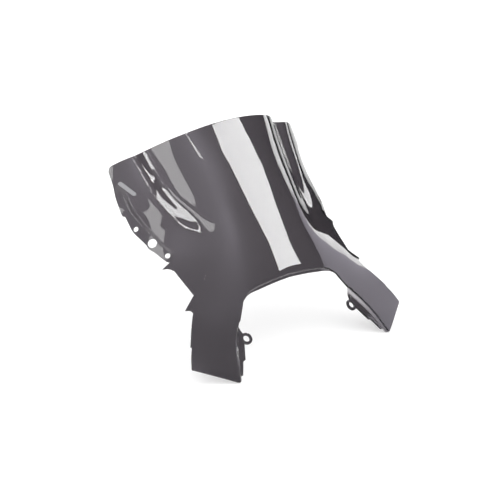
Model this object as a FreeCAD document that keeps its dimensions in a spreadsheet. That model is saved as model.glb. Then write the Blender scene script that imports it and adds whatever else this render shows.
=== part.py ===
import FreeCAD, Part

import math
import os

from FreeCAD import Placement, Rotation, Vector

# Windshield screen of a fully faired motorcycle: one thermoformed acrylic sheet.
# It is drawn in the mould's frame, lying at the rake angle: X across the motorcycle, Y up the
# slope of the screen, Z out of the mould into the wind. The sheet is described by its outer
# face, a height above the mould plane, and is symmetric about X = 0. Right and left are as
# seen from the front, so right is +X.
# The zones of the sheet (bubble, wings, legs, flanges, lips) are separate solids that meet
# face to face along the mould's own feature lines.

doc = FreeCAD.newDocument("windshield_screen")
book = doc.addObject("Spreadsheet::Sheet", "Sheet")
row_count = 0


def put(alias, value):
    """Write one driving dimension into the next row of the spreadsheet."""
    global row_count
    row_count += 1
    book.set("A%d" % row_count, alias)
    book.set("B%d" % row_count, str(value))
    book.setAlias("B%d" % row_count, alias)


def size(alias):
    """Read one driving dimension back from the spreadsheet."""
    return float(book.get(alias))


# ---------------------------------------------------------------- dimensions (mm, degrees)
put("sheet_thickness", 3.0)
put("rake_angle", 60.0)
put("flange_small_hole_radius", 4.0)
put("flange_big_hole_radius", 7.0)
put("tab_hole_radius", 5.0)
put("tab_outer_radius", 9.0)
put("flange_jog_depth", 4.0)
put("lip_jog_at_tab", 9.0)
put("lip_jog_at_foot", 4.0)
put("arch_jog_depth", 3.0)
put("flange_ramp_width", 4.0)
put("lip_ramp_width", 7.0)
put("arch_ramp_width", 2.5)
put("decal_length", 30.0)
put("decal_width", 5.0)
put("decal_thickness", 0.3)
put("decal_turn", 117.0)
put("trim_tool_reach", 420.0)
put("origin_behind_leg_foot", 144.1)
put("origin_above_leg_foot", -4.4)

# Offset table of the outer face. Each station is a cross section at one distance up the slope;
# its pairs are (distance from the centre plane, height above the mould plane), along ten rails
# that run up the sheet: crown, shoulder, flank, foot of the flank, wing crest and rear edge.
STATIONS = [
    (-20, [(0, 4), (44, 7), (80, 11), (98, 10), (115, 7.8), (133, 4.6), (150, 1), (175, -4.3),
          (205, -12), (235, -22)]),
    (20, [(0, 1.5), (44, 2.5), (80, 3.8), (98, 2.2), (115, 0), (133, -3.3), (150, -6.9),
          (175, -12.8), (205, -21.5), (235, -33)]),
    (70, [(0, -0.9), (44, -1.9), (80, -5), (98, -8.7), (115, -12.2), (133, -15.8), (150, -19.3),
          (175, -24.6), (198, -29.8), (225, -38)]),
    (118, [(0, -2.8), (44, -4.4), (80, -9.2), (98, -13.8), (113, -18.2), (129, -23.3),
          (145, -29.2), (162, -36.4), (180, -45.3), (205, -61)]),
    (150, [(0, -4.1), (44, -6.2), (78, -12.2), (94, -17.5), (108, -22.8), (122, -28.8),
          (136, -35.2), (151, -43.3), (170, -55.5), (195, -74)]),
    (195, [(0, -5.9), (44, -8.7), (72, -15.8), (87, -23.3), (98, -29.8), (110, -36.8), (124, -45),
          (143, -56.8), (165, -71), (190, -91)]),
    (248, [(0, -8.1), (44, -11.5), (72, -21.2), (88, -34), (101, -45.5), (112, -51), (126, -57.5),
          (148, -71), (172, -90.5), (192, -111)]),
    (298, [(0, -10.9), (44, -15), (76, -29.4), (96, -48), (117, -70.5), (131, -73.5), (144, -79),
          (162, -94), (182, -114), (196, -130)]),
    (340, [(0, -14), (44, -18.7), (82, -36.8), (101, -56), (123, -80), (139, -82.5), (152, -88),
          (167, -100), (182, -115), (196, -131)]),
    (375, [(0, -17.2), (44, -22.4), (84, -39.4), (104, -59.5), (127, -86), (145, -87),
          (158, -92.5), (170, -103), (182, -116), (196, -131)]),
    (400, [(0, -19.9), (44, -25.4), (86, -42.5), (106, -63), (129, -89.5), (147, -90), (160, -95),
          (171, -104), (184, -117), (197, -131)]),
]
for number, (slope, pairs) in enumerate(STATIONS):
    put("station_slope_%d" % number, slope)
    for rail, (across, height) in enumerate(pairs):
        put("station_%d_across_%d" % (number, rail), across)
        put("station_%d_height_%d" % (number, rail), height)
doc.recompute()


# ---------------------------------------------------------------- the outer face as a height
def natural_spline(knots, values):
    """Return a function that follows a natural cubic spline through the given values."""
    count = len(knots)
    gaps = [knots[i + 1] - knots[i] for i in range(count - 1)]
    rises = [(values[i + 1] - values[i]) / gaps[i] for i in range(count - 1)]
    upper = [0.0] * count
    right = [0.0] * count
    for i in range(1, count - 1):
        pivot = 2.0 * (gaps[i - 1] + gaps[i]) - gaps[i - 1] * upper[i - 1]
        upper[i] = gaps[i] / pivot
        right[i] = (6.0 * (rises[i] - rises[i - 1]) - gaps[i - 1] * right[i - 1]) / pivot
    bend = [0.0] * count
    for i in range(count - 2, 0, -1):
        bend[i] = right[i] - upper[i] * bend[i + 1]

    def follow(where):
        i = 0
        while i < count - 2 and where > knots[i + 1]:
            i += 1
        ahead = knots[i + 1] - where
        behind = where - knots[i]
        bowed = bend[i] * ahead ** 3 + bend[i + 1] * behind ** 3
        low = values[i] / gaps[i] - bend[i] * gaps[i] / 6.0
        high = values[i + 1] / gaps[i] - bend[i + 1] * gaps[i] / 6.0
        return bowed / (6.0 * gaps[i]) + low * ahead + high * behind

    return follow


STATION_NUMBERS = range(len(STATIONS))
RAILS = range(len(STATIONS[0][1]))
SLOPES = [size("station_slope_%d" % number) for number in STATION_NUMBERS]


def rail_curve(kind, rail):
    """One rail's distance from the centre plane, or its height, as a function of the slope."""
    alias = "station_%d_" + kind + "_%d"
    return natural_spline(SLOPES, [size(alias % (number, rail)) for number in STATION_NUMBERS])


rail_across = [rail_curve("across", rail) for rail in RAILS]
rail_height = [rail_curve("height", rail) for rail in RAILS]
section_at = {}


def face_height(across, slope):
    """Height of the outer face above the mould plane."""
    key = round(slope, 4)
    if key not in section_at:
        xs = [rail(slope) for rail in rail_across]
        zs = [rail(slope) for rail in rail_height]
        mirrored_xs = [-x for x in xs[:0:-1]] + xs
        section_at[key] = natural_spline(mirrored_xs, zs[:0:-1] + zs)
    return section_at[key](across)


def smooth_step(part):
    part = min(max(part, 0.0), 1.0)
    return part * part * (3.0 - 2.0 * part)


def along(points, share):
    """Point at a share of the length of a straight-sided line."""
    lengths = [math.dist(points[i], points[i + 1]) for i in range(len(points) - 1)]
    left = share * sum(lengths)
    for i, length in enumerate(lengths):
        if left <= length or i == len(lengths) - 1:
            part = left / length
            return [points[i][c] + part * (points[i + 1][c] - points[i][c]) for c in (0, 1)]
        left -= length


def skin_object(name, grid):
    surface = Part.BSplineSurface()
    surface.interpolate(grid)
    skin = doc.addObject("Part::Feature", name)
    skin.Shape = surface.toShape()
    return skin


SKIN_HALF_WIDTH = 208
SKIN_FOOT, SKIN_TOP = -14, 386
ACROSS_STEP = 8
SLOPE_STEP = 10


def main_skin():
    """Outer face of the whole sheet, larger than its outline on every side."""
    across = range(-SKIN_HALF_WIDTH, SKIN_HALF_WIDTH + 1, ACROSS_STEP)
    slopes = range(SKIN_FOOT, SKIN_TOP + 1, SLOPE_STEP)
    grid = [[Vector(x, y, face_height(x, y)) for y in slopes] for x in across]
    return skin_object("main_skin", grid)


STRIP_ROWS = 40
STRIP_STEPS = 16
STRIP_OVERLAP = 0.1


def strip_skin(name, fold, far, ramp, jog_along):
    """Outer face of a strip that jogs inwards by one step just beyond the fold line."""
    grid = []
    for row in range(STRIP_ROWS + 1):
        near_x, near_y = along(fold, row / STRIP_ROWS)
        far_x, far_y = along(far, row / STRIP_ROWS)
        width = math.dist((near_x, near_y), (far_x, far_y))
        jog = jog_along(row / STRIP_ROWS)
        line = []
        for step in range(STRIP_STEPS + 1):
            share = step / STRIP_STEPS * (1 + STRIP_OVERLAP) - STRIP_OVERLAP
            x = near_x + (far_x - near_x) * share
            y = near_y + (far_y - near_y) * share
            line.append(Vector(x, y, face_height(x, y) - jog * smooth_step(share * width / ramp)))
        grid.append(line)
    return skin_object(name, grid)


def thick_sheet(skin):
    """The skin thickened inwards to the sheet's thickness."""
    face = skin.Shape.Faces[0]
    low_u, high_u, low_v, high_v = face.ParameterRange
    outwards = face.normalAt((low_u + high_u) / 2, (low_v + high_v) / 2).z
    blank = doc.addObject("Part::Offset", skin.Name.replace("skin", "blank"))
    blank.Source = skin
    blank.Fill = True
    blank.setExpression("Value", ("-" if outwards > 0 else "") + "Sheet.sheet_thickness")
    return blank


# ---------------------------------------------------------------- outline, square to the mould
# Every stretch is a list of (across, up the slope) points on the right-hand half: two points
# are a straight edge, more are a smooth curve through them.
TOP_BUBBLE = [(0, 385), (45, 383.8), (88, 380.6), (110, 379), (127, 376.8)]
TOP_WING = [(127, 376.8), (146, 373.4), (166, 371.4), (173, 370.4)]
TOP_CORNER = [(173, 370.4), (179.5, 368.2), (182.3, 361)]
REAR_EDGE = [(182.3, 361), (182.3, 348)]
REAR_LOWER = [(182.3, 348), (182.2, 291.5)]
VALLEY = [(127, 376.8), (123, 340), (116, 298), (104, 248), (98, 205), (94, 150), (92, 111)]
CREASE = [(182.3, 348), (174.5, 338), (170.2, 322), (169, 302), (167, 284), (162.8, 262),
          (157.8, 243), (152.5, 226), (147.8, 213.5), (150.2, 207), (158.5, 201)]
FLANGE_STEP = [(182.2, 291.5), (179.6, 289.5)]
FLANGE_REAR = [(179.6, 289.5), (179.6, 276), (179.2, 262), (176.3, 250), (172.7, 237)]
FLANGE_BUMP = [(172.7, 237), (172.1, 230.5), (168.5, 224.2)]
FLANGE_FRONT = [(168.5, 224.2), (158.5, 201)]
UPPER_BARB = [(158.5, 201), (170.5, 194.5)]
UPPER_BARB_UNDER = [(170.5, 194.5), (163.5, 192.5), (158, 186)]
WAIST = [(158, 186), (153.2, 142.5)]
LOWER_BARB = [(153.2, 142.5), (173.5, 124.5)]
LOWER_BARB_UNDER = [(173.5, 124.5), (167, 121.5), (166, 117.5)]
LEG_OUTER = [(166, 117.5), (180.5, 94.5), (194, 71)]
LEG_NOTCH = [(194, 71), (192.5, 69.5)]
LEG_FLARE = [(192.5, 69.5), (200.5, 54.5), (206.5, 38.5)]
LEG_FOOT = [(206.5, 38.5), (149.5, -0.5)]
FOLD = [(149.5, -0.5), (145.5, 10), (136.5, 39), (112, 82), (107, 85)]
LEG_INNER = [(107, 85), (95.5, 104.5), (92, 111)]
SHOULDER_LINE = [(92, 111), (153.2, 142.5)]
ARCH_FACE = [(92, 111), (84, 119), (74, 124), (61, 126.8), (40, 129.2), (0, 131.8)]
ARCH_RIM = [(92, 111), (87, 114.8), (81, 117.8), (74, 119.7), (61, 121.2), (40, 123.4), (0, 126)]
LIP_FOOT = [(149.5, -0.5), (143.6, 0.8), (141.2, 6.6), (137.2, 7.6)]
LIP_LOWER = [(137.2, 7.6), (127, 26.8)]
LIP_STEP = [(127, 26.8), (122.6, 28)]
LIP_UPPER = [(122.6, 28), (110.5, 49.5)]
LIP_TOP = [(110.5, 49.5), (103.5, 57), (107.2, 70), (108.3, 77), (107, 85)]
TAB_CENTRE = (104.6, 57.5)
FLANGE_HOLES = [("upper", (175.1, 266.0), "flange_small_hole_radius"),
                ("middle", (165.7, 237.4), "flange_big_hole_radius"),
                ("lower", (155.2, 212.0), "flange_small_hole_radius")]
DECAL_MIDDLE = (-168.5, 328.5)


def stretch_edge(points):
    ends = [Vector(x, y, 0) for x, y in points]
    if len(points) == 2:
        return Part.LineSegment(ends[0], ends[1])
    curve = Part.BSplineCurve()
    curve.interpolate(ends)
    return curve


def prism(name, stretches):
    """Trimming tool: a closed outline drawn in the mould plane and extruded both ways."""
    sketch = doc.addObject("Sketcher::SketchObject", name + "_outline")
    for stretch in stretches:
        sketch.addGeometry(stretch_edge(stretch), False)
    tool = doc.addObject("Part::Extrusion", name + "_tool")
    tool.Base = sketch
    tool.DirMode = "Custom"
    tool.Dir = Vector(0, 0, 1)
    tool.Solid = True
    tool.Symmetric = True
    tool.setExpression("LengthFwd", "Sheet.trim_tool_reach")
    return tool


def dropped_sheet(skin):
    """The skin thickened straight into the mould, where its jog is too tight to be offset."""
    blank = doc.addObject("Part::Extrusion", skin.Name.replace("skin", "blank"))
    blank.Base = skin
    blank.DirMode = "Custom"
    blank.Dir = Vector(0, 0, -1)
    blank.setExpression("LengthFwd", "Sheet.sheet_thickness")
    return blank


def backwards(points):
    return points[::-1]


def mirrored(points):
    return [(-x, y) for x, y in points]


def common(name, base, tool):
    piece = doc.addObject("Part::Common", name)
    piece.Base = base
    piece.Tool = tool
    return piece


def outward_normal(shape, x, y, z):
    """Normal of the outer face nearest to a point, pointing out of the mould."""
    face = shape.Faces[0]
    u, v = face.Surface.parameter(Vector(x, y, z))
    normal = face.normalAt(u, v)
    return normal if normal.z > 0 else normal.negative()


def face_point(shape, x, y):
    """Where a line square to the mould plane meets a skin."""
    reach = size("trim_tool_reach") / 2
    line = Part.makeLine(Vector(x, y, -reach), Vector(x, y, reach))
    return shape.distToShape(line)[1][0][0]


HOLE_TOOL_WALLS = 8
HOLES = []


def hole_tool(name, skin, middle, radius_alias):
    """Cylinder through the sheet, square to its face at the hole."""
    at = face_point(skin.Shape, middle[0], middle[1])
    axis = outward_normal(skin.Shape, at.x, at.y, at.z)
    tool = doc.addObject("Part::Cylinder", name)
    tool.setExpression("Radius", "Sheet." + radius_alias)
    tool.setExpression("Height", "%d * Sheet.sheet_thickness" % HOLE_TOOL_WALLS)
    start = at - axis * (HOLE_TOOL_WALLS / 2 * size("sheet_thickness"))
    tool.Placement = Placement(start, Rotation(Vector(0, 0, 1), axis))
    HOLES.append((name, at, axis))
    return tool


def cut(name, base, tools):
    piece = doc.addObject("Part::Cut", name)
    piece.Base = base
    if len(tools) == 1:
        piece.Tool = tools[0]
    else:
        group = doc.addObject("Part::MultiFuse", name + "_tools")
        group.Shapes = tools
        piece.Tool = group
    return piece


def left_of(name, source):
    """The left-hand twin of a right-hand zone."""
    twin = doc.addObject("Part::Mirroring", name)
    twin.Source = source
    twin.Normal = Vector(1, 0, 0)
    return twin


# ---------------------------------------------------------------- skins and blanks
FLANGE_FADE = 0.2
ARCH_FADE = 0.12
FLANGE_STRIP_WIDTH = 24
ARCH_STRIP_WIDTH = 14


def flange_jog(share):
    """The crease fades out towards the top of the flange."""
    return size("flange_jog_depth") * smooth_step(share / FLANGE_FADE)


def lip_jog(share):
    """The leg's fold is deepest at the tab."""
    at_foot = size("lip_jog_at_foot")
    return at_foot + (size("lip_jog_at_tab") - at_foot) * smooth_step(share)


def arch_jog(share):
    """The arch's lip runs out to nothing at both corners of the cut-out."""
    return size("arch_jog_depth") * smooth_step(min(share, 1 - share) / ARCH_FADE)


main = main_skin()
flange_fold = [(179, 352)] + CREASE[1:-1] + [(151.5, 192)]
flange_far = [(x + FLANGE_STRIP_WIDTH, y - 2) for x, y in flange_fold]
flange_skin = strip_skin("flange_skin", flange_fold, flange_far, size("flange_ramp_width"),
                         flange_jog)
lip_fold = [(153.5, -10)] + FOLD[:-1] + [(98, 99)]
lip_far = [(128, -14), (122, -4), (115, 8), (106, 22), (84, 54), (68, 76)]
lip_skin = strip_skin("lip_skin", lip_fold, lip_far, size("lip_ramp_width"), lip_jog)
arch_fold = [(97, 104)] + ARCH_FACE + mirrored(backwards(ARCH_FACE[:-1])) + [(-97, 104)]
arch_far = [(0.9 * x, y - ARCH_STRIP_WIDTH) for x, y in arch_fold]
arch_skin = strip_skin("arch_skin", arch_fold, arch_far, size("arch_ramp_width"), arch_jog)
doc.recompute()

main_blank = thick_sheet(main)
flange_blank = thick_sheet(flange_skin)
lip_blank = dropped_sheet(lip_skin)
arch_blank = dropped_sheet(arch_skin)
decal_blank = doc.addObject("Part::Offset", "decal_blank")
decal_blank.Source = main
decal_blank.Fill = True
decal_blank.setExpression("Value", "Sheet.decal_thickness")

# ---------------------------------------------------------------- the zones of the sheet
bubble_half = [TOP_BUBBLE, VALLEY, ARCH_FACE]
bubble = common("bubble", main_blank,
                prism("bubble", bubble_half + [mirrored(stretch) for stretch in bubble_half]))

wing_right = common("wing_right", main_blank,
                    prism("wing", [TOP_WING, TOP_CORNER, REAR_EDGE, CREASE, UPPER_BARB,
                                   UPPER_BARB_UNDER, WAIST, SHOULDER_LINE, VALLEY]))

leg_right = common("leg_right", main_blank,
                   prism("leg", [SHOULDER_LINE, LOWER_BARB, LOWER_BARB_UNDER, LEG_OUTER,
                                 LEG_NOTCH, LEG_FLARE, LEG_FOOT, FOLD, LEG_INNER]))

flange_sheet = common("flange_sheet", flange_blank,
                      prism("flange", [CREASE, FLANGE_FRONT, FLANGE_BUMP, FLANGE_REAR,
                                       FLANGE_STEP, REAR_LOWER]))
flange_drills = [hole_tool("flange_hole_" + name, flange_skin, middle, alias)
                 for name, middle, alias in FLANGE_HOLES]
flange_right = cut("wing_flange_right", flange_sheet, flange_drills)

tab_disc = doc.addObject("Part::Cylinder", "tab_disc")
tab_disc.setExpression("Radius", "Sheet.tab_outer_radius")
tab_disc.setExpression("Height", "Sheet.trim_tool_reach")
tab_disc_foot = Vector(TAB_CENTRE[0], TAB_CENTRE[1], -size("trim_tool_reach") / 2)
tab_disc.Placement = Placement(tab_disc_foot, Rotation())
lip_tool = doc.addObject("Part::Fuse", "lip_and_tab_tool")
lip_tool.Base = prism("lip", [FOLD, LIP_TOP, LIP_UPPER, LIP_STEP, LIP_LOWER, LIP_FOOT])
lip_tool.Tool = tab_disc
lip_sheet = common("lip_sheet", lip_blank, lip_tool)
tab_drill = hole_tool("tab_hole", lip_skin, TAB_CENTRE, "tab_hole_radius")
lip_right = cut("leg_lip_right", lip_sheet, [tab_drill])

arch_half = [ARCH_FACE, ARCH_RIM]
arch_lip = common("arch_lip", arch_blank,
                  prism("arch", arch_half + [mirrored(stretch) for stretch in arch_half]))

turn = math.radians(size("decal_turn"))
corners = []
for end, edge in ((1, 1), (-1, 1), (-1, -1), (1, -1)):
    reach = end * size("decal_length") / 2
    side = edge * size("decal_width") / 2
    corners.append((DECAL_MIDDLE[0] + reach * math.cos(turn) - side * math.sin(turn),
                    DECAL_MIDDLE[1] + reach * math.sin(turn) + side * math.cos(turn)))
decal_sides = [[corners[i], corners[(i + 1) % 4]] for i in range(4)]
decal = common("decal", decal_blank, prism("decal", decal_sides))

# ---------------------------------------------------------------- from the mould to the motorcycle
# The screen stands at its rake, with the origin under the middle of its box.
from_leg_foot = Vector(0, -size("origin_behind_leg_foot"), -size("origin_above_leg_foot"))
STANCE = Placement(from_leg_foot, Rotation(Vector(1, 0, 0), size("rake_angle")))
PIECES = {"bubble": bubble, "wing_right": wing_right, "leg_right": leg_right,
          "wing_flange_right": flange_right, "leg_lip_right": lip_right, "arch_lip": arch_lip,
          "decal": decal}
for piece in PIECES.values():
    piece.Placement = STANCE
for name in [name for name in PIECES if name.endswith("_right")]:
    twin = name.replace("_right", "_left")
    PIECES[twin] = left_of(twin, PIECES[name])
for name, piece in PIECES.items():
    piece.Label = name
doc.recompute()

for item in doc.Objects:
    if "Invalid" in item.State or "Error" in item.State:
        raise RuntimeError(item.Name + " did not compute")
for name, piece in PIECES.items():
    shape = piece.Shape
    if shape.isNull() or not shape.isValid() or len(shape.Solids) != 1:
        raise RuntimeError(name + " is not one valid solid")
    print("%-20s %9.1f mm3" % (name, shape.Volume))

box = Part.makeCompound([piece.Shape for piece in PIECES.values()]).optimalBoundingBox(False, False)
print("size %.1f x %.1f x %.1f" % (box.XLength, box.YLength, box.ZLength))
print("box centre %.2f, %.2f, foot %.2f" % (box.Center.x, box.Center.y, box.ZMin))
for name, at, axis in HOLES:
    print(name, STANCE.multVec(at), STANCE.Rotation.multVec(axis))

os.makedirs("parts", exist_ok=True)
for name, piece in PIECES.items():
    piece.Shape.exportStep("parts/%s.step" % name)
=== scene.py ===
import math

import bpy
import numpy as np
from mathutils import Matrix, Vector, geometry, kdtree


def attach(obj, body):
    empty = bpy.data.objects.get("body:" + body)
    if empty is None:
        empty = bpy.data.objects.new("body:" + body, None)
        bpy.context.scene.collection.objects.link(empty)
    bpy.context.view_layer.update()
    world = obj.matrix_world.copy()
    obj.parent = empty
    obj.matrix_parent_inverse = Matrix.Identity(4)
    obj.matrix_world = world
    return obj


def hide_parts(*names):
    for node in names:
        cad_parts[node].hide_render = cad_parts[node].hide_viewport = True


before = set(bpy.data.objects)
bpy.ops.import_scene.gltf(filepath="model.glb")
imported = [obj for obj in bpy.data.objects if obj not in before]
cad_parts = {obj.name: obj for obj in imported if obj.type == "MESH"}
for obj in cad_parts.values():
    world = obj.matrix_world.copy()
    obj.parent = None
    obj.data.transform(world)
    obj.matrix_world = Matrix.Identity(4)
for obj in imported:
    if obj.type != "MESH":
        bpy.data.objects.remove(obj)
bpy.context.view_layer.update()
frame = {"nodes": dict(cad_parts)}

# Windshield screen of a fully faired motorcycle: one thermoformed sheet of smoked acrylic with
# polished edges, and a small plain decal. The sheet is described in its mould's frame, in
# millimetres: across the motorcycle, up the slope, and out of the mould. It is trimmed by an
# outline seen square to the mould, and stands at its rake in the frame's metres.

# The sheet, its rake, and where the raked frame has the origin of the object.
MM = 0.001
THICKNESS = 3.0
RAKE = math.radians(60.0)
ORIGIN_BACK = 144.1
ORIGIN_UP = -4.4

# Rounded, polished edges of the outline and of the holes. Their corners are mitred, and the last
# value keeps a mitre from growing long at a sharp corner.
EDGE_RADIUS = 0.5
HOLE_EDGE_RADIUS = 0.25
EDGE_STEPS = 4
LEAST_MITRE_COSINE = 0.5

# Jogs of the flanges, lips and arch below the mould's face: how deep, over how wide a ramp, and
# over what share of its feature line a jog grows to its full depth.
FLANGE_JOG = 4.0
FLANGE_RAMP = 4.0
FLANGE_FADE = 0.2
LIP_JOG_FOOT = 4.0
LIP_JOG_TAB = 9.0
LIP_RAMP = 7.0
ARCH_JOG = 3.0
ARCH_RAMP = 2.5
ARCH_FADE = 0.24

# Offset table of the outer face: one row per station up the slope, and in each row ten rails'
# (distance from the centre plane, height out of the mould).
STATIONS = {
    -20: [(0, 4), (44, 7), (80, 11), (98, 10), (115, 7.8), (133, 4.6), (150, 1), (175, -4.3),
          (205, -12), (235, -22)],
    20: [(0, 1.5), (44, 2.5), (80, 3.8), (98, 2.2), (115, 0), (133, -3.3), (150, -6.9),
         (175, -12.8), (205, -21.5), (235, -33)],
    70: [(0, -0.9), (44, -1.9), (80, -5), (98, -8.7), (115, -12.2), (133, -15.8), (150, -19.3),
         (175, -24.6), (198, -29.8), (225, -38)],
    118: [(0, -2.8), (44, -4.4), (80, -9.2), (98, -13.8), (113, -18.2), (129, -23.3), (145, -29.2),
          (162, -36.4), (180, -45.3), (205, -61)],
    150: [(0, -4.1), (44, -6.2), (78, -12.2), (94, -17.5), (108, -22.8), (122, -28.8), (136, -35.2),
          (151, -43.3), (170, -55.5), (195, -74)],
    195: [(0, -5.9), (44, -8.7), (72, -15.8), (87, -23.3), (98, -29.8), (110, -36.8), (124, -45),
          (143, -56.8), (165, -71), (190, -91)],
    248: [(0, -8.1), (44, -11.5), (72, -21.2), (88, -34), (101, -45.5), (112, -51), (126, -57.5),
          (148, -71), (172, -90.5), (192, -111)],
    298: [(0, -10.9), (44, -15), (76, -29.4), (96, -48), (117, -70.5), (131, -73.5), (144, -79),
          (162, -94), (182, -114), (196, -130)],
    340: [(0, -14), (44, -18.7), (82, -36.8), (101, -56), (123, -80), (139, -82.5), (152, -88),
          (167, -100), (182, -115), (196, -131)],
    375: [(0, -17.2), (44, -22.4), (84, -39.4), (104, -59.5), (127, -86), (145, -87),
          (158, -92.5), (170, -103), (182, -116), (196, -131)],
    400: [(0, -19.9), (44, -25.4), (86, -42.5), (106, -63), (129, -89.5), (147, -90), (160, -95),
          (171, -104), (184, -117), (197, -131)],
}

# The outline's stretches on the right-hand half, as (across, up the slope): two points are a
# straight edge, more are a smooth curve through them.
TOP = [(0, 385), (45, 383.8), (88, 380.6), (110, 379), (127, 376.8)]
TOP_WING = [(127, 376.8), (146, 373.4), (166, 371.4), (173, 370.4)]
TOP_CORNER = [(173, 370.4), (179.5, 368.2), (182.3, 361)]
REAR_EDGE = [(182.3, 361), (182.2, 291.5)]
FLANGE_STEP = [(182.2, 291.5), (179.6, 289.5)]
FLANGE_REAR = [(179.6, 289.5), (179.6, 276), (179.2, 262), (176.3, 250), (172.7, 237)]
FLANGE_BUMP = [(172.7, 237), (172.1, 230.5), (168.5, 224.2)]
FLANGE_FRONT = [(168.5, 224.2), (158.5, 201)]
UPPER_BARB = [(158.5, 201), (170.5, 194.5)]
UPPER_BARB_UNDER = [(170.5, 194.5), (163.5, 192.5), (158, 186)]
WAIST = [(158, 186), (153.2, 142.5)]
LOWER_BARB = [(153.2, 142.5), (173.5, 124.5)]
LOWER_BARB_UNDER = [(173.5, 124.5), (167, 121.5), (166, 117.5)]
LEG_OUTER = [(166, 117.5), (180.5, 94.5), (194, 71)]
LEG_NOTCH = [(194, 71), (192.5, 69.5)]
LEG_FLARE = [(192.5, 69.5), (200.5, 54.5), (206.5, 38.5)]
LEG_FOOT = [(206.5, 38.5), (149.5, -0.5)]
LIP_FOOT = [(149.5, -0.5), (143.6, 0.8), (141.2, 6.6), (137.2, 7.6)]
LIP_LOWER = [(137.2, 7.6), (127, 26.8)]
LIP_STEP = [(127, 26.8), (122.6, 28)]
LEG_INNER = [(107, 85), (95.5, 104.5), (92, 111)]
ARCH_RIM = [(92, 111), (87, 114.8), (81, 117.8), (74, 119.7), (61, 121.2), (40, 123.4), (0, 126)]
TAB_CENTRE = (104.6, 57.5)
TAB_RADIUS = 9.0
TAB_HOLE = 5.0
TAB_FROM, TAB_TO = 318.0, 78.0
TAB_NECK = [(108.3, 77), (107, 85)]
FLANGE_HOLES = [((175.1, 266), 4.0), ((165.7, 237.4), 7.0), ((155.2, 212), 4.0)]

# The plain bar on the left wing: its place and turn, its size, the gap under it, how much is left
# off each round tip so that the last row has a width, and its rows and columns of mesh.
DECAL_MIDDLE = (-168.5, 328.5)
DECAL_TURN = 117.0
DECAL_LENGTH = 30.0
DECAL_WIDTH = 5.0
DECAL_THICKNESS = 0.3
DECAL_GAP = 0.02
DECAL_TIP = 0.05
DECAL_ROWS = 14
DECAL_COLUMNS = 6

# The mould's feature lines, beyond which the sheet jogs inwards.
CREASE = [(182.3, 348), (174.5, 338), (170.2, 322), (169, 302), (167, 284), (162.8, 262),
          (157.8, 243), (152.5, 226), (147.8, 213.5), (150.2, 207), (158.5, 201)]
FOLD = [(149.5, -0.5), (145.5, 10), (136.5, 39), (112, 82), (107, 85)]
ARCH_FACE = [(92, 111), (84, 119), (74, 124), (61, 126.8), (40, 129.2), (0, 131.8)]
FOLD_BELOW_FOOT = (153.5, -10)
FOLD_PAST_TAB = (98, 99)

# A zone is what lies past its feature line, and also within these limits up the slope and across.
FLANGE_ABOVE = 200.9
FLANGE_BEYOND = 147
LIP_BELOW = 85
LIP_BEYOND = 90
ARCH_ABOVE = 108
ARCH_BELOW = 135
ARCH_WITHIN = 92

# The mesh: how far apart its points are, the rows along each feature line by their distances
# past it, and a triangular grid over the rest. Points too near to a row or an edge are left out.
SPACING = 2.6
ROW_SPACING = 2.0
LINE_SPACING = 1.0
TAB_SPACING = 1.2
HOLE_POINTS = 40
CREASE_ROWS = (-1.6, 0, 0.8, 1.6, 2.4, 3.2, 4, 5.6)
FOLD_ROWS = (-1.6, 0, 1.4, 2.8, 4.2, 5.6, 7, 8.6)
ARCH_ROWS = (-1.6, 0, 0.6, 1.2, 1.9, 2.5, 4)
ROW_CLEARANCE = 0.7
GRID_CLEARANCE = 0.62 * SPACING
GRID_FOOT = -4
GRID_HEIGHT = 400
GRID_HALF_COUNT = 81
GRID_ROW_SHARE = 0.866
MERGE_DISTANCE = 1e-5
SLOPE_STEP = 0.05


# ---------------------------------------------------------------- natural cubic splines
def bends(knots, values):
    """Second derivatives at the knots of one natural cubic spline per row."""
    gaps = np.diff(knots, axis=1)
    rises = np.diff(values, axis=1) / gaps
    upper = np.zeros_like(values)
    right = np.zeros_like(values)
    last = values.shape[1] - 1
    for i in range(1, last):
        pivot = 2 * (gaps[:, i - 1] + gaps[:, i]) - gaps[:, i - 1] * upper[:, i - 1]
        upper[:, i] = gaps[:, i] / pivot
        right[:, i] = (6 * (rises[:, i] - rises[:, i - 1]) - gaps[:, i - 1] * right[:, i - 1]) / pivot
    bend = np.zeros_like(values)
    for i in range(last - 1, 0, -1):
        bend[:, i] = right[:, i] - upper[:, i] * bend[:, i + 1]
    return bend


def follow(knots, values, where):
    """Values at the given places, one per row, or all on one spline if there is one row."""
    bend = bends(knots, values)
    row = np.arange(len(where)) if len(values) > 1 else np.zeros(len(where), int)
    low = np.clip((knots[row] <= where[:, None]).sum(axis=1) - 1, 0, values.shape[1] - 2)
    gap = knots[row, low + 1] - knots[row, low]
    ahead = knots[row, low + 1] - where
    behind = where - knots[row, low]
    bowed = bend[row, low] * ahead ** 3 + bend[row, low + 1] * behind ** 3
    start = values[row, low] / gap - bend[row, low] * gap / 6
    end = values[row, low + 1] / gap - bend[row, low + 1] * gap / 6
    return bowed / (6 * gap) + start * ahead + end * behind


def through(points, spacing):
    """Evenly spaced points on the smooth curve, or the straight line, through some points."""
    points = np.array(points, float)
    lengths = np.r_[0, np.cumsum(np.linalg.norm(np.diff(points, axis=0), axis=1))]
    where = np.linspace(0, lengths[-1], max(2, round(lengths[-1] / spacing) + 1))
    knots = lengths[None]
    return np.stack([follow(knots, points[None, :, c], where) for c in (0, 1)], axis=1)


# ---------------------------------------------------------------- the outer face
SLOPES = np.array([list(STATIONS)], float)
TABLE = np.array(list(STATIONS.values()), float)


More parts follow.
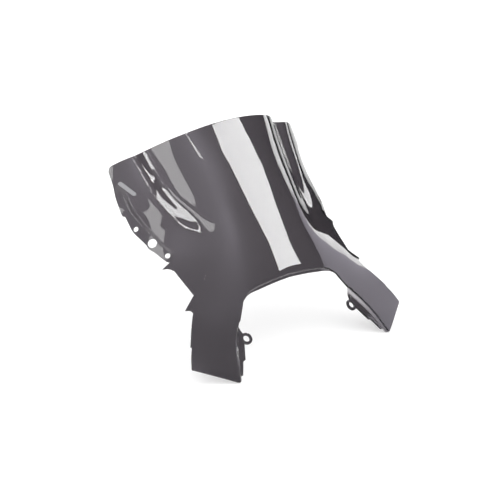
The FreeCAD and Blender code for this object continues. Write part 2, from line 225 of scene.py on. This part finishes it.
def face_height(x, y):
    """Height of the mould's face, before any jog."""
    rails = range(TABLE.shape[1])
    across = np.stack([follow(SLOPES, TABLE[None, :, k, 0], y) for k in rails], axis=1)
    height = np.stack([follow(SLOPES, TABLE[None, :, k, 1], y) for k in rails], axis=1)
    knots = np.hstack([-across[:, :0:-1], across])
    return follow(knots, np.hstack([height[:, :0:-1], height]), x)


def smooth_step(part):
    """A share eased in and out, level at 0 and at 1."""
    part = np.clip(part, 0, 1)
    return part * part * (3 - 2 * part)


def past_line(x, y, line):
    """How far past a line, positive on its left, and the nearest point's share of its length."""
    spots = np.stack([x, y], axis=1)[:, None]
    starts = line[None, :-1]
    runs = line[None, 1:] - starts
    part = ((spots - starts) * runs).sum(2) / (runs ** 2).sum(2)
    part = np.clip(part, 0, 1)
    gaps = spots - starts - runs * part[..., None]
    far = np.linalg.norm(gaps, axis=2)
    nearest = far.argmin(axis=1)
    row = np.arange(len(x))
    run = runs[0, nearest]
    gap = gaps[row, nearest]
    leftwards = run[:, 0] * gap[:, 1] - run[:, 1] * gap[:, 0]
    lengths = np.linalg.norm(runs[0], axis=1)
    before = np.r_[0, np.cumsum(lengths)]
    share = (before[nearest] + part[row, nearest] * lengths[nearest]) / before[-1]
    return np.sign(leftwards) * far[row, nearest], share


MAIN, FLANGE, LIP, ARCH = range(4)
CREASE_LINE = through(CREASE, LINE_SPACING)
FOLD_LINE = through([FOLD_BELOW_FOOT] + FOLD[:-1] + [FOLD_PAST_TAB], LINE_SPACING)
ARCH_LINE = through(ARCH_FACE, LINE_SPACING)


def zone_of(points):
    """The zone of the sheet that each point lies in."""
    x = np.abs(points[:, 0])
    y = points[:, 1]
    zone = np.full(len(points), MAIN)
    past, _ = past_line(x, y, CREASE_LINE)
    zone[(past > 0) & (y > FLANGE_ABOVE) & (x > FLANGE_BEYOND)] = FLANGE
    past, _ = past_line(x, y, FOLD_LINE)
    zone[(past > 0) & (y < LIP_BELOW) & (x > LIP_BEYOND)] = LIP
    past, _ = past_line(x, y, ARCH_LINE)
    zone[(past > 0) & (y > ARCH_ABOVE) & (y < ARCH_BELOW) & (x < ARCH_WITHIN)] = ARCH
    return zone


def jog_depth(x, y, zone):
    """How far each zone's face lies below the mould's face."""
    depth = np.zeros(len(x))
    x = np.abs(x)
    here = zone == FLANGE
    if here.any():
        past, share = past_line(x[here], y[here], CREASE_LINE)
        depth[here] = FLANGE_JOG * smooth_step(share / FLANGE_FADE) * smooth_step(past / FLANGE_RAMP)
    here = zone == LIP
    if here.any():
        past, share = past_line(x[here], y[here], FOLD_LINE)
        deepest = LIP_JOG_FOOT + (LIP_JOG_TAB - LIP_JOG_FOOT) * smooth_step(share)
        depth[here] = deepest * smooth_step(past / LIP_RAMP)
    here = zone == ARCH
    if here.any():
        past, share = past_line(x[here], y[here], ARCH_LINE)
        depth[here] = ARCH_JOG * smooth_step(share / ARCH_FADE) * smooth_step(past / ARCH_RAMP)
    return depth


def mould_normal(x, y):
    """Normal of the mould's face."""
    step = SLOPE_STEP
    slope_x = (face_height(x + step, y) - face_height(x - step, y)) / (2 * step)
    slope_y = (face_height(x, y + step) - face_height(x, y - step)) / (2 * step)
    normal = np.stack([-slope_x, -slope_y, np.ones(len(x))], axis=1)
    return normal / np.linalg.norm(normal, axis=1)[:, None]


def sheet_point(x, y, zone, depth):
    """Point of the sheet at a depth below its outer face."""
    height = face_height(x, y) - jog_depth(x, y, zone)
    return np.stack([x, y, height], axis=1) - depth * mould_normal(x, y)


def sheet_normal(x, y, zone, depth):
    """Outward normal of the layer of the sheet at a depth below its outer face."""
    step = SLOPE_STEP
    run_x = sheet_point(x + step, y, zone, depth) - sheet_point(x - step, y, zone, depth)
    run_y = sheet_point(x, y + step, zone, depth) - sheet_point(x, y - step, zone, depth)
    normal = np.cross(run_x, run_y)
    return normal / np.linalg.norm(normal, axis=1)[:, None]


# ---------------------------------------------------------------- trimming loops
def mirrored(points):
    """The points on the other side of the centre plane, in the opposite order."""
    return points[::-1] * np.array([-1, 1])


def ring(centre, radius, start, end, spacing):
    """Points on an arc drawn in the mould plane, angles in degrees."""
    count = max(8, round(abs(math.radians(end - start)) * radius / spacing))
    angles = np.radians(np.linspace(start, end, count + 1))
    return np.array(centre) + radius * np.stack([np.cos(angles), np.sin(angles)], axis=1)


def joined(stretches):
    """The stretches one after another, each without its last point."""
    return np.vstack([stretch[:-1] for stretch in stretches])


def right_half():
    """Outline of the right-hand half, from the top of the centre line to the cut-out's."""
    before = [TOP, TOP_WING, TOP_CORNER, REAR_EDGE, FLANGE_STEP, FLANGE_REAR, FLANGE_BUMP,
              FLANGE_FRONT, UPPER_BARB, UPPER_BARB_UNDER, WAIST, LOWER_BARB, LOWER_BARB_UNDER,
              LEG_OUTER, LEG_NOTCH, LEG_FLARE, LEG_FOOT, LIP_FOOT, LIP_LOWER, LIP_STEP]
    stretches = [through(points, ROW_SPACING) for points in before]
    tab = ring(TAB_CENTRE, TAB_RADIUS, TAB_FROM, TAB_TO, TAB_SPACING)
    stretches.append(through([LIP_STEP[-1], tuple(tab[0])], ROW_SPACING))
    stretches.append(tab)
    stretches.append(through([tuple(tab[-1])] + TAB_NECK, ROW_SPACING))
    stretches += [through(points, ROW_SPACING) for points in (LEG_INNER, ARCH_RIM)]
    return np.vstack([joined(stretches), [ARCH_RIM[-1]]])


def hole_loop(centre, radius, zone):
    """A drilled hole, square to the face, as it is seen square to the mould."""
    x = np.array([centre[0]], float)
    y = np.array([centre[1]], float)
    axis = sheet_normal(x, y, np.array([zone]), 0)[0]
    level = np.cross(axis, (0, 1, 0))
    level /= np.linalg.norm(level)
    rising = np.cross(axis, level)
    angles = np.linspace(0, 2 * math.pi, HOLE_POINTS, endpoint=False)
    spots = radius * (np.outer(np.cos(angles), level) + np.outer(np.sin(angles), rising))
    return spots[:, :2] + np.array(centre)


def counter_clockwise(loop):
    """The loop in counter-clockwise order."""
    x, y = loop.T
    area = (x * np.roll(y, -1) - np.roll(x, -1) * y).sum()
    return loop if area > 0 else loop[::-1]


def trimming_loops():
    """The outline counter-clockwise, then every hole clockwise."""
    half = right_half()
    outline = np.vstack([half, mirrored(half)[1:-1]])
    holes = [hole_loop(centre, radius, FLANGE) for centre, radius in FLANGE_HOLES]
    holes.append(hole_loop(TAB_CENTRE, TAB_HOLE, LIP))
    holes += [mirrored(loop) for loop in holes]
    return [counter_clockwise(outline)] + [counter_clockwise(loop)[::-1] for loop in holes]


# ---------------------------------------------------------------- the sheet's mesh
def loop_frames(loop):
    """A trimming loop's points on the outer face, its ways into the sheet, normals and zones."""
    zone = zone_of(loop)
    x, y = loop.T
    points = sheet_point(x, y, zone, 0)
    normal = mould_normal(x, y)
    ahead = np.roll(points, -1, axis=0) - points
    ahead /= np.linalg.norm(ahead, axis=1)[:, None]
    before = np.roll(ahead, 1, axis=0)
    inward = np.cross(normal, ahead) + np.cross(normal, before)
    mitre_cosine = np.linalg.norm(inward, axis=1)[:, None] / 2
    inward /= 2 * mitre_cosine
    return points, inward / np.maximum(mitre_cosine, LEAST_MITRE_COSINE), normal, zone


def row_points(line, offsets):
    """Points on rows that follow a feature line at some distances past it."""
    run = np.gradient(line, axis=0)
    run /= np.linalg.norm(run, axis=1)[:, None]
    past = np.stack([-run[:, 1], run[:, 0]], axis=1)
    return np.vstack([line + offset * past for offset in offsets])


def clear_of(points, others, gap):
    """The points that are at least a gap away from all the others."""
    tree = kdtree.KDTree(len(others))
    for number, (x, y) in enumerate(others):
        tree.insert((x, y, 0), number)
    tree.balance()
    return np.array([p for p in points if tree.find((p[0], p[1], 0))[2] > gap])


def inside(points, loop):
    """True for the points inside a closed loop."""
    found = np.zeros(len(points), bool)
    ends = np.roll(loop, -1, axis=0)
    for (x1, y1), (x2, y2) in zip(loop, ends):
        if y1 == y2:
            continue
        spans = (points[:, 1] < y1) != (points[:, 1] < y2)
        crossing = x1 + (points[:, 1] - y1) * (x2 - x1) / (y2 - y1)
        found ^= spans & (points[:, 0] < crossing)
    return found


def feature_rows(trimmed):
    """Mesh points along the feature lines of both sides, clear of the trimmed edges."""
    rows = np.vstack([row_points(through(CREASE, ROW_SPACING), CREASE_ROWS),
                      row_points(through(FOLD, ROW_SPACING), FOLD_ROWS),
                      row_points(through(ARCH_FACE, ROW_SPACING), ARCH_ROWS)])
    rows = np.vstack([rows, rows[rows[:, 0] > 0] * (-1, 1)])
    return clear_of(rows, trimmed, ROW_CLEARANCE)


def face_grid(others):
    """Mesh points in a triangular grid, clear of the others."""
    grid = []
    for number in range(int(GRID_HEIGHT / (SPACING * GRID_ROW_SHARE))):
        y = GRID_FOOT + number * SPACING * GRID_ROW_SHARE
        shift = SPACING / 2 * (number % 2)
        across = np.arange(-GRID_HALF_COUNT, GRID_HALF_COUNT) * SPACING + shift
        grid += [(x, y) for x in across]
    return clear_of(np.array(grid), others, GRID_CLEARANCE)


def triangles(spots, insets):
    """Triangles between the spots, inside the outline's inset and outside those of the holes."""
    edges = []
    start = 0
    for inset in insets:
        count = len(inset)
        edges += [(start + i, start + (i + 1) % count) for i in range(count)]
        start += count
    flat = [Vector(spot) for spot in spots]
    made = geometry.delaunay_2d_cdt(flat, edges, [], 0, MERGE_DISTANCE, True)
    if len(made[0]) != len(spots):
        raise RuntimeError("trimming loops cross: %d spots, %d made" % (len(spots), len(made[0])))
    source = [ids[0] for ids in made[3]]
    faces = np.array([[source[i] for i in face] for face in made[2]])
    middles = spots[faces].mean(axis=1)
    kept = inside(middles, insets[0])
    for inset in insets[1:]:
        kept &= ~inside(middles, inset)
    return faces[kept]


def edge_layers(edge, inward, normal, radius):
    """Points and normals round a trimmed edge, layer by layer from the outer to the inner face."""
    angles = np.linspace(0, math.pi / 2, EDGE_STEPS + 1)[1:]
    points = []
    normals = []
    for angle in angles:
        out = radius * (1 - math.sin(angle))
        down = radius * (1 - math.cos(angle))
        points.append(edge + out * inward - down * normal)
        normals.append(math.cos(angle) * normal - math.sin(angle) * inward)
    for angle in angles[::-1]:
        out = radius * (1 - math.sin(angle))
        down = THICKNESS - radius * (1 - math.cos(angle))
        points.append(edge + out * inward - down * normal)
        normals.append(-math.cos(angle) * normal - math.sin(angle) * inward)
    return points, normals


def build_sheet():
    """The whole sheet as a closed mesh: outer face, inner face and rounded, polished edges."""
    frames = [loop_frames(loop) for loop in trimming_loops()]
    radii = [EDGE_RADIUS] + [HOLE_EDGE_RADIUS] * (len(frames) - 1)
    insets = [frame[0][:, :2] + radius * frame[1][:, :2] for frame, radius in zip(frames, radii)]
    trimmed = np.vstack(insets)
    rows = feature_rows(trimmed)
    grid = face_grid(np.vstack([trimmed, rows]))
    spots = np.vstack([trimmed, rows, grid])
    faces = triangles(spots, insets)
    zone = zone_of(spots)
    zone[:len(trimmed)] = np.concatenate([frame[3] for frame in frames])
    x, y = spots.T
    points = [sheet_point(x, y, zone, 0), sheet_point(x, y, zone, THICKNESS)]
    normals = [sheet_normal(x, y, zone, 0), -sheet_normal(x, y, zone, THICKNESS)]
    count = len(spots)
    total = 2 * count
    start = 0
    quads = []
    for (edge, inward, normal, _), radius in zip(frames, radii):
        edge_points, edge_normals = edge_layers(edge, inward, normal, radius)
        points += edge_points
        normals += edge_normals
        size = len(edge)
        first = np.arange(start, start + size)
        between = [np.arange(size) + total + size * layer for layer in range(len(edge_points))]
        layers = [first] + between + [first + count]
        for upper, lower in zip(layers[:-1], layers[1:]):
            quads += np.stack([upper, lower, np.roll(lower, -1), np.roll(upper, -1)], 1).tolist()
        start += size
        total += size * len(edge_points)
    all_faces = faces.tolist() + (faces[:, ::-1] + count).tolist() + quads
    return np.vstack(points), np.vstack(normals), all_faces


def turn(vectors):
    """From the mould's directions to the object's."""
    return vectors @ np.array(Matrix.Rotation(RAKE, 3, "X")).T


def stand(points):
    """From the mould's frame in millimetres to the object's frame in metres."""
    return (turn(points) - (0, ORIGIN_BACK, ORIGIN_UP)) * MM


def link_object(name, data):
    """A new object in the scene."""
    made = bpy.data.objects.new(name, data)
    bpy.context.scene.collection.objects.link(made)
    return made


def mesh_object(name, points, faces, material):
    """A new mesh object in the scene, with its material."""
    mesh = bpy.data.meshes.new(name)
    mesh.from_pydata(points, [], faces)
    mesh.materials.append(material)
    return link_object(name, mesh)


# ---------------------------------------------------------------- the decal's mesh
def build_decal():
    """A thin bar with round ends that lies on the left wing's face."""
    turn_angle = math.radians(DECAL_TURN)
    ahead = np.array([math.cos(turn_angle), math.sin(turn_angle)])
    beside = np.array([-ahead[1], ahead[0]])
    straight = (DECAL_LENGTH - DECAL_WIDTH) / 2
    reaches = np.linspace(-1, 1, 2 * DECAL_ROWS + 1)
    reaches = np.sin(reaches * math.pi / 2) * (DECAL_LENGTH / 2 - DECAL_TIP)
    round_part = np.clip(np.abs(reaches) - straight, 0, None) / (DECAL_WIDTH / 2)
    half_widths = DECAL_WIDTH / 2 * np.sqrt(1 - round_part ** 2)
    shares = np.linspace(-1, 1, DECAL_COLUMNS + 1)
    spots = (np.array(DECAL_MIDDLE) + reaches[:, None, None] * ahead
             + (half_widths[:, None] * shares)[..., None] * beside).reshape(-1, 2)
    x, y = spots.T
    zone = np.full(len(spots), MAIN)
    rows, columns = len(reaches), len(shares)
    count = rows * columns
    numbers = np.arange(count).reshape(rows, columns)
    top = np.stack([numbers[:-1, :-1], numbers[1:, :-1], numbers[1:, 1:], numbers[:-1, 1:]], 2)
    top = top.reshape(-1, 4)
    rim = np.r_[numbers[0, :-1], numbers[:-1, -1], numbers[-1, :0:-1], numbers[:0:-1, 0]]
    ahead_rim = np.roll(rim, -1)
    walls = np.stack([rim, ahead_rim, ahead_rim + count, rim + count], 1)
    points = [sheet_point(x, y, zone, -DECAL_THICKNESS), sheet_point(x, y, zone, -DECAL_GAP)]
    faces = top.tolist() + (top[:, ::-1] + count).tolist() + walls.tolist()
    return np.vstack(points), faces


# ---------------------------------------------------------------- materials
# Sockets of a Mix node for its colours, which share their names with its other sockets.
COLOUR_A, COLOUR_B = 6, 7
MIXED_COLOUR = 2


def new_material(name):
    """A new node material, its nodes, its links and its Principled shader."""
    material = bpy.data.materials.new(name)
    material.use_nodes = True
    nodes = material.node_tree.nodes
    return material, nodes, material.node_tree.links, nodes["Principled BSDF"]


def mottled(nodes, links, scale, low, high):
    """A value that wanders smoothly between two limits over the piece."""
    place = nodes.new("ShaderNodeTexCoord")
    noise = nodes.new("ShaderNodeTexNoise")
    noise.inputs["Scale"].default_value = scale
    noise.inputs["Detail"].default_value = 4.0
    limits = nodes.new("ShaderNodeMapRange")
    limits.inputs["To Min"].default_value = low
    limits.inputs["To Max"].default_value = high
    links.new(place.outputs["Object"], noise.inputs["Vector"])
    links.new(noise.outputs["Fac"], limits.inputs["Value"])
    return limits.outputs["Result"]


def smoked_acrylic():
    """Clear acrylic, polished, with a grey-violet smoke that deepens with the way through it."""
    material, nodes, links, shader = new_material("smoked_acrylic")
    shader.inputs["Base Color"].default_value = (1, 1, 1, 1)
    shader.inputs["Transmission Weight"].default_value = 1.0
    shader.inputs["IOR"].default_value = 1.49
    links.new(mottled(nodes, links, 40.0, 0.0, 0.03), shader.inputs["Roughness"])
    smoke = nodes.new("ShaderNodeVolumeAbsorption")
    smoke.inputs["Color"].default_value = (0.10, 0.066, 0.10, 1)
    smoke.inputs["Density"].default_value = 950.0
    links.new(smoke.outputs["Volume"], nodes["Material Output"].inputs["Volume"])
    return material


def decal_vinyl():
    """Grey printed vinyl with a fine grain and a slightly uneven gloss."""
    material, nodes, links, shader = new_material("decal_vinyl")
    grain = nodes.new("ShaderNodeMix")
    grain.data_type = "RGBA"
    grain.inputs[COLOUR_A].default_value = (0.20, 0.20, 0.21, 1)
    grain.inputs[COLOUR_B].default_value = (0.30, 0.30, 0.31, 1)
    links.new(mottled(nodes, links, 900.0, 0.0, 1.0), grain.inputs["Factor"])
    links.new(grain.outputs[MIXED_COLOUR], shader.inputs["Base Color"])
    links.new(mottled(nodes, links, 300.0, 0.3, 0.45), shader.inputs["Roughness"])
    return material


# ---------------------------------------------------------------- the pieces
sheet_points, sheet_normals, sheet_faces = build_sheet()
sheet = mesh_object("screen_sheet", stand(sheet_points).tolist(), sheet_faces, smoked_acrylic())
sheet.data.polygons.foreach_set("use_smooth", [True] * len(sheet_faces))
sheet.data.normals_split_custom_set_from_vertices(turn(sheet_normals).tolist())
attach(sheet, "root")
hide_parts("bubble", "wing_left", "wing_right", "wing_flange_left",
            "wing_flange_right", "leg_left", "leg_right", "leg_lip_left", "leg_lip_right",
            "arch_lip")

decal_points, decal_faces = build_decal()
decal = mesh_object("decal_bar", stand(decal_points).tolist(), decal_faces, decal_vinyl())
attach(decal, "root")
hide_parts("decal")

# ---------------------------------------------------------------- camera
# Through a long lens, from above and in front of the left wing.
CAMERA_PLACE = (-1.4517, -1.8029, 1.0097)
CAMERA_TILT = 69.225
CAMERA_TURN = -38.51

camera_data = bpy.data.cameras.new("camera")
camera_data.lens = 115.2
camera_data.sensor_width = 36.0
camera_data.clip_end = 100.0
camera = link_object("camera", camera_data)
camera.location = CAMERA_PLACE
camera.rotation_euler = (math.radians(CAMERA_TILT), 0, math.radians(CAMERA_TURN))
bpy.context.scene.camera = camera

# ---------------------------------------------------------------- stage
WHITE = (1, 1, 1, 1)
COOL_GREY = (0.92, 0.88, 1.0, 1)
FLOOR_HALF = 6.0
FLOOR_GLOW = 0.28
OBJECT_MIDDLE = Vector((0, 0, 0.2))


def rectangle(half_width, half_height):
    """Corners of a rectangle about the middle of its plane."""
    return [(-half_width, -half_height), (half_width, -half_height),
            (half_width, half_height), (-half_width, half_height)]


def floor_matt():
    """Matt pale floor with a faint glow of its own, so that it meets the white backdrop."""
    material, _, _, shader = new_material("studio_floor")
    shader.inputs["Base Color"].default_value = (0.8, 0.8, 0.8, 1)
    shader.inputs["Emission Color"].default_value = WHITE
    shader.inputs["Emission Strength"].default_value = FLOOR_GLOW
    shader.inputs["Roughness"].default_value = 1.0
    shader.inputs["Specular IOR Level"].default_value = 0.0
    return material


floor_corners = [(x, y, 0) for x, y in rectangle(FLOOR_HALF, FLOOR_HALF)]
floor = mesh_object("floor", floor_corners, [(0, 1, 2, 3)], floor_matt())


# ---------------------------------------------------------------- lights
# The light strip's outline, and the hooked outline of the panel above the left trough, in
# metres on each panel's plane: level, then rising.
STRIP_CORNERS = [(0.006, -0.17), (0.014, -0.126), (0.086, 0.002), (0.136, 0.128),
                 (-0.103, 0.262), (-0.147, 0.21), (-0.093, -0.07), (-0.104, -0.126)]
OVERHEAD_CORNERS = [(-0.197, -0.066), (-0.165, -0.066), (-0.192, -0.038), (-0.206, -0.012),
                    (-0.03, 0.03), (-0.03, 0.12), (-0.215, 0.12), (-0.22, -0.01)]

# Soft glows of the room: azimuth, elevation, narrowness and strength.
LEFT_GLOW = (-75, 20, 6.0, 0.9)
FRONT_GLOW = (-22, 27, 12.0, 2.3)
TOP_GLOW = (0, 90, 2.0, 0.4)
BACKDROP_STRENGTH = 1.4
ROOM_STRENGTH = 0.05


def towards(azimuth, elevation):
    """Unit vector, azimuth 0 to the front and 90 to the right."""
    azimuth, elevation = math.radians(azimuth), math.radians(elevation)
    level = math.cos(elevation)
    return Vector((math.sin(azimuth) * level, -math.cos(azimuth) * level, math.sin(elevation)))


def glowing(name, strength, colour):
    """A material that only glows."""
    material, nodes, links, _ = new_material(name)
    glow = nodes.new("ShaderNodeEmission")
    glow.inputs["Color"].default_value = colour
    glow.inputs["Strength"].default_value = strength
    links.new(glow.outputs["Emission"], nodes["Material Output"].inputs["Surface"])
    return material


def softbox(name, azimuth, elevation, distance, corners, strength, colour=WHITE):
    """A glowing panel that faces the object and shows only in its gloss."""
    away = towards(azimuth, elevation)
    level = Vector((math.cos(math.radians(azimuth)), math.sin(math.radians(azimuth)), 0))
    rising = level.cross(-away)
    centre = OBJECT_MIDDLE + distance * away
    points = [centre + u * level + v * rising for u, v in corners]
    panel = mesh_object(name, points, [range(len(corners))], glowing(name, strength, colour))
    panel.visible_camera = False
    panel.visible_diffuse = False
    panel.visible_transmission = False
    panel.visible_shadow = False


softbox("strip_softbox", 45, 36, 0.45, STRIP_CORNERS, 16.0)
softbox("left_softbox", -86, 17, 2.0, rectangle(0.32, 0.32), 6.5)
softbox("wing_softbox", -66, 41, 2.0, rectangle(0.2, 0.19), 6.0)
softbox("right_softbox", 94, 11, 2.0, rectangle(0.35, 0.17), 5.0)
softbox("leg_softbox", 72.6, 3.4, 0.67, rectangle(0.22, 0.11), 2.3, COOL_GREY)
softbox("overhead_softbox", -10, 66, 0.35, OVERHEAD_CORNERS, 14.0)


def worked_out(nodes, links, operation, first, second):
    """Result of an operation on two values, each one a socket or a number."""
    node = nodes.new("ShaderNodeMath")
    node.operation = operation
    for socket, value in zip(node.inputs, (first, second)):
        if isinstance(value, bpy.types.NodeSocket):
            links.new(value, socket)
        else:
            socket.default_value = value
    return node.outputs["Value"]


def glow_towards(nodes, links, azimuth, elevation, narrowness, strength):
    """Brightness of a soft glow, greatest in one direction."""
    place = nodes.new("ShaderNodeTexCoord")
    facing = nodes.new("ShaderNodeVectorMath")
    facing.operation = "DOT_PRODUCT"
    facing.inputs[1].default_value = towards(azimuth, elevation)
    links.new(place.outputs["Generated"], facing.inputs[0])
    front = worked_out(nodes, links, "MAXIMUM", facing.outputs["Value"], 0.0)
    fade = worked_out(nodes, links, "POWER", front, narrowness)
    return worked_out(nodes, links, "MULTIPLY", fade, strength)


def studio_world(glows):
    """A white sweep all round, and a dim room with soft glows in the gloss."""
    world = bpy.data.worlds.new("studio")
    world.use_nodes = True
    nodes = world.node_tree.nodes
    links = world.node_tree.links
    white = nodes["Background"]
    white.inputs["Color"].default_value = WHITE
    white.inputs["Strength"].default_value = BACKDROP_STRENGTH
    room = nodes.new("ShaderNodeBackground")
    room.inputs["Color"].default_value = COOL_GREY
    brightness = ROOM_STRENGTH
    for glow in glows:
        brightness = worked_out(nodes, links, "ADD", glow_towards(nodes, links, *glow), brightness)
    links.new(brightness, room.inputs["Strength"])
    path = nodes.new("ShaderNodeLightPath")
    in_gloss = worked_out(nodes, links, "SUBTRACT", path.outputs["Is Reflection Ray"],
                          path.outputs["Is Diffuse Ray"])
    either = nodes.new("ShaderNodeMixShader")
    links.new(in_gloss, either.inputs["Fac"])
    links.new(white.outputs["Background"], either.inputs[1])
    links.new(room.outputs["Background"], either.inputs[2])
    links.new(either.outputs["Shader"], nodes["World Output"].inputs["Surface"])
    return world


bpy.context.scene.world = studio_world([LEFT_GLOW, FRONT_GLOW, TOP_GLOW])
bpy.context.scene.view_settings.view_transform = "Standard"
